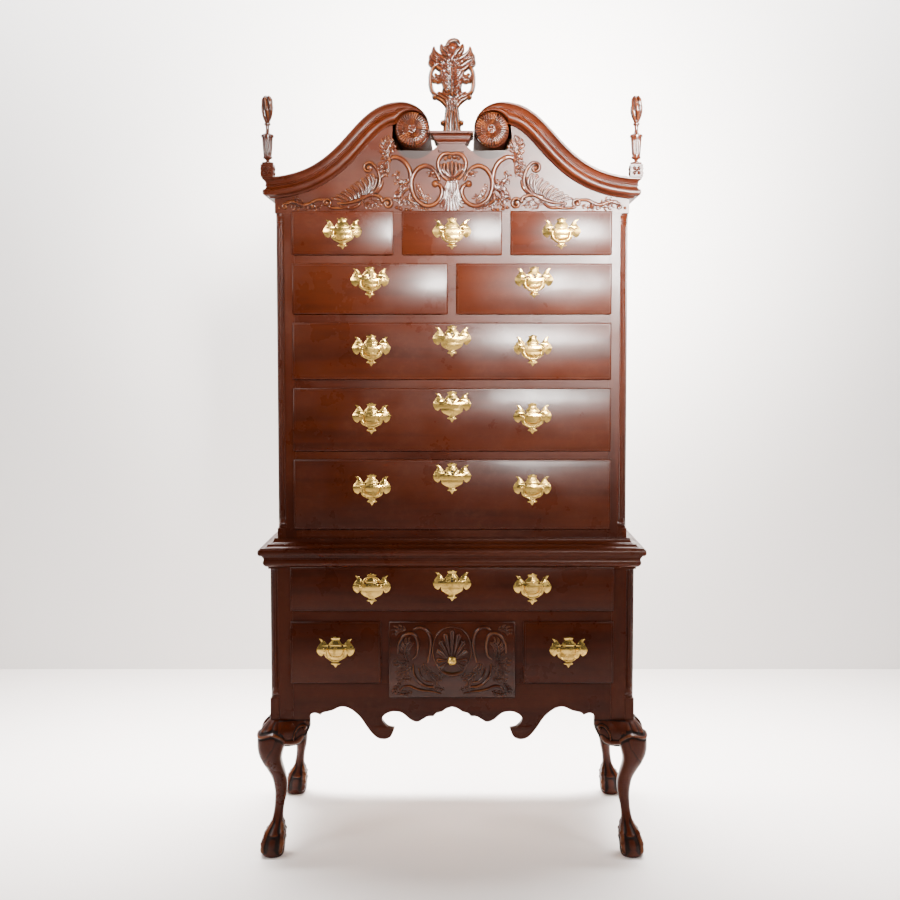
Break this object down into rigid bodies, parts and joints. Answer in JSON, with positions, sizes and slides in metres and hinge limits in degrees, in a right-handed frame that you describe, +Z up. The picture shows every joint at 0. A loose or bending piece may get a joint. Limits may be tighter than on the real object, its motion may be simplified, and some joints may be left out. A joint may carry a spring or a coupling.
{
  "type": "tall chest of drawers",
  "caption": "Tall two-case chest of drawers with a scrolled pediment, quarter columns, sliding drawers, swinging brass bail handles and cabriole legs.",
  "frame": {"origin": "on the floor, under the middle of the chest", "axes": "+Z up, +X to the right of someone facing the drawers, the drawer fronts face -Y"},
  "size_m": [1.148, 0.594, 2.3983],
  "materials": {
    "case_mahogany": "polished mahogany, satin lacquer with dark grain",
    "carved_mahogany": "carved mahogany, dark in the hollows and rubbed on the high parts",
    "drawer_mahogany": "polished mahogany fronts on plain drawer boxes",
    "secondary_wood": "plain unpolished back and bottom boards",
    "brass": "polished cast brass, slightly mottled"
  },
  "bodies": {
    "root": {"upper_side_left": "case_mahogany", "upper_side_right": "case_mahogany", "upper_back": "secondary_wood", "upper_bottom": "case_mahogany", "partition_1_2": "case_mahogany", "partition_2_3": "case_mahogany", "partition_3_4": "case_mahogany", "partition_4_5": "case_mahogany", "scroll_board": "case_mahogany", "cornice_left": "case_mahogany", "cornice_right": "case_mahogany", "bonnet": "case_mahogany", "rosette_left": "carved_mahogany", "rosette_right": "carved_mahogany", "cartouche_finial": "carved_mahogany", "flame_finial_left": "carved_mahogany", "flame_finial_right": "carved_mahogany", "upper_quarter_column_left": "carved_mahogany", "upper_quarter_column_right": "carved_mahogany", "waist_moulding": "case_mahogany", "lower_side_left": "case_mahogany", "lower_side_right": "case_mahogany", "lower_back": "secondary_wood", "apron": "case_mahogany", "lower_partition": "case_mahogany", "lower_bottom": "secondary_wood", "lower_quarter_column_left": "carved_mahogany", "lower_quarter_column_right": "carved_mahogany", "front_leg_left": "case_mahogany", "front_leg_right": "case_mahogany", "rear_leg_left": "case_mahogany", "rear_leg_right": "case_mahogany"},
    "drawer_5": {"drawer_5": "drawer_mahogany"},
    "drawer_4": {"drawer_4": "drawer_mahogany"},
    "drawer_3": {"drawer_3": "drawer_mahogany"},
    "drawer_2_left": {"drawer_2_left": "drawer_mahogany"},
    "drawer_2_right": {"drawer_2_right": "drawer_mahogany"},
    "drawer_1_middle": {"drawer_1_middle": "drawer_mahogany"},
    "drawer_1_left": {"drawer_1_left": "drawer_mahogany"},
    "drawer_1_right": {"drawer_1_right": "drawer_mahogany"},
    "drawer_6": {"drawer_6": "drawer_mahogany"},
    "drawer_7_left": {"drawer_7_left": "drawer_mahogany"},
    "drawer_7_right": {"drawer_7_right": "drawer_mahogany"},
    "shell_drawer": {"shell_drawer": "drawer_mahogany", "shell_drawer_knob": "brass"},
    "bail_5_left": {"bail_5_left": "brass"},
    "bail_5_right": {"bail_5_right": "brass"},
    "bail_4_left": {"bail_4_left": "brass"},
    "bail_4_right": {"bail_4_right": "brass"},
    "bail_3_left": {"bail_3_left": "brass"},
    "bail_3_right": {"bail_3_right": "brass"},
    "bail_2_left": {"bail_2_left": "brass"},
    "bail_2_right": {"bail_2_right": "brass"},
    "bail_1_middle": {"bail_1_middle": "brass"},
    "bail_1_left": {"bail_1_left": "brass"},
    "bail_1_right": {"bail_1_right": "brass"},
    "bail_6_left": {"bail_6_left": "brass"},
    "bail_6_right": {"bail_6_right": "brass"},
    "bail_7_left": {"bail_7_left": "brass"},
    "bail_7_right": {"bail_7_right": "brass"}
  },
  "joints": [
    {"name": "drawer_5_slide", "type": "slide", "parent": "root", "child": "drawer_5", "axis": [0, -1, 0], "range_m": [0, 0.36]},
    {"name": "drawer_4_slide", "type": "slide", "parent": "root", "child": "drawer_4", "axis": [0, -1, 0], "range_m": [0, 0.36]},
    {"name": "drawer_3_slide", "type": "slide", "parent": "root", "child": "drawer_3", "axis": [0, -1, 0], "range_m": [0, 0.36]},
    {"name": "drawer_2_left_slide", "type": "slide", "parent": "root", "child": "drawer_2_left", "axis": [0, -1, 0], "range_m": [0, 0.36]},
    {"name": "drawer_2_right_slide", "type": "slide", "parent": "root", "child": "drawer_2_right", "axis": [0, -1, 0], "range_m": [0, 0.36]},
    {"name": "drawer_1_middle_slide", "type": "slide", "parent": "root", "child": "drawer_1_middle", "axis": [0, -1, 0], "range_m": [0, 0.36]},
    {"name": "drawer_1_left_slide", "type": "slide", "parent": "root", "child": "drawer_1_left", "axis": [0, -1, 0], "range_m": [0, 0.36]},
    {"name": "drawer_1_right_slide", "type": "slide", "parent": "root", "child": "drawer_1_right", "axis": [0, -1, 0], "range_m": [0, 0.36]},
    {"name": "drawer_6_slide", "type": "slide", "parent": "root", "child": "drawer_6", "axis": [0, -1, 0], "range_m": [0, 0.38]},
    {"name": "drawer_7_left_slide", "type": "slide", "parent": "root", "child": "drawer_7_left", "axis": [0, -1, 0], "range_m": [0, 0.38]},
    {"name": "drawer_7_right_slide", "type": "slide", "parent": "root", "child": "drawer_7_right", "axis": [0, -1, 0], "range_m": [0, 0.38]},
    {"name": "shell_drawer_slide", "type": "slide", "parent": "root", "child": "shell_drawer", "axis": [0, -1, 0], "range_m": [0, 0.38]},
    {"name": "bail_5_left_hinge", "type": "hinge", "parent": "drawer_5", "child": "bail_5_left", "pos_m": [-0.2345, -0.2555, 1.093], "axis": [-1, 0, 0], "range_deg": [0, 150]},
    {"name": "bail_5_right_hinge", "type": "hinge", "parent": "drawer_5", "child": "bail_5_right", "pos_m": [0.2345, -0.2555, 1.093], "axis": [-1, 0, 0], "range_deg": [0, 150]},
    {"name": "bail_4_left_hinge", "type": "hinge", "parent": "drawer_4", "child": "bail_4_left", "pos_m": [-0.2345, -0.2555, 1.302], "axis": [-1, 0, 0], "range_deg": [0, 150]},
    {"name": "bail_4_right_hinge", "type": "hinge", "parent": "drawer_4", "child": "bail_4_right", "pos_m": [0.2345, -0.2555, 1.302], "axis": [-1, 0, 0], "range_deg": [0, 150]},
    {"name": "bail_3_left_hinge", "type": "hinge", "parent": "drawer_3", "child": "bail_3_left", "pos_m": [-0.2345, -0.2555, 1.5], "axis": [-1, 0, 0], "range_deg": [0, 150]},
    {"name": "bail_3_right_hinge", "type": "hinge", "parent": "drawer_3", "child": "bail_3_right", "pos_m": [0.2345, -0.2555, 1.5], "axis": [-1, 0, 0], "range_deg": [0, 150]},
    {"name": "bail_2_left_hinge", "type": "hinge", "parent": "drawer_2_left", "child": "bail_2_left", "pos_m": [-0.23775, -0.2555, 1.697], "axis": [-1, 0, 0], "range_deg": [0, 150]},
    {"name": "bail_2_right_hinge", "type": "hinge", "parent": "drawer_2_right", "child": "bail_2_right", "pos_m": [0.23775, -0.2555, 1.697], "axis": [-1, 0, 0], "range_deg": [0, 150]},
    {"name": "bail_1_middle_hinge", "type": "hinge", "parent": "drawer_1_middle", "child": "bail_1_middle", "pos_m": [0, -0.2555, 1.837], "axis": [-1, 0, 0], "range_deg": [0, 150]},
    {"name": "bail_1_left_hinge", "type": "hinge", "parent": "drawer_1_left", "child": "bail_1_left", "pos_m": [-0.31625, -0.2555, 1.837], "axis": [-1, 0, 0], "range_deg": [0, 150]},
    {"name": "bail_1_right_hinge", "type": "hinge", "parent": "drawer_1_right", "child": "bail_1_right", "pos_m": [0.31625, -0.2555, 1.837], "axis": [-1, 0, 0], "range_deg": [0, 150]},
    {"name": "bail_6_left_hinge", "type": "hinge", "parent": "drawer_6", "child": "bail_6_left", "pos_m": [-0.2345, -0.278, 0.8045], "axis": [1, 0, 0], "range_deg": [0, 170]},
    {"name": "bail_6_right_hinge", "type": "hinge", "parent": "drawer_6", "child": "bail_6_right", "pos_m": [0.2345, -0.278, 0.8045], "axis": [-1, 0, 0], "range_deg": [0, 150]},
    {"name": "bail_7_left_hinge", "type": "hinge", "parent": "drawer_7_left", "child": "bail_7_left", "pos_m": [-0.341, -0.278, 0.618], "axis": [-1, 0, 0], "range_deg": [0, 150]},
    {"name": "bail_7_right_hinge", "type": "hinge", "parent": "drawer_7_right", "child": "bail_7_right", "pos_m": [0.341, -0.278, 0.618], "axis": [-1, 0, 0], "range_deg": [0, 150]}
  ]
}
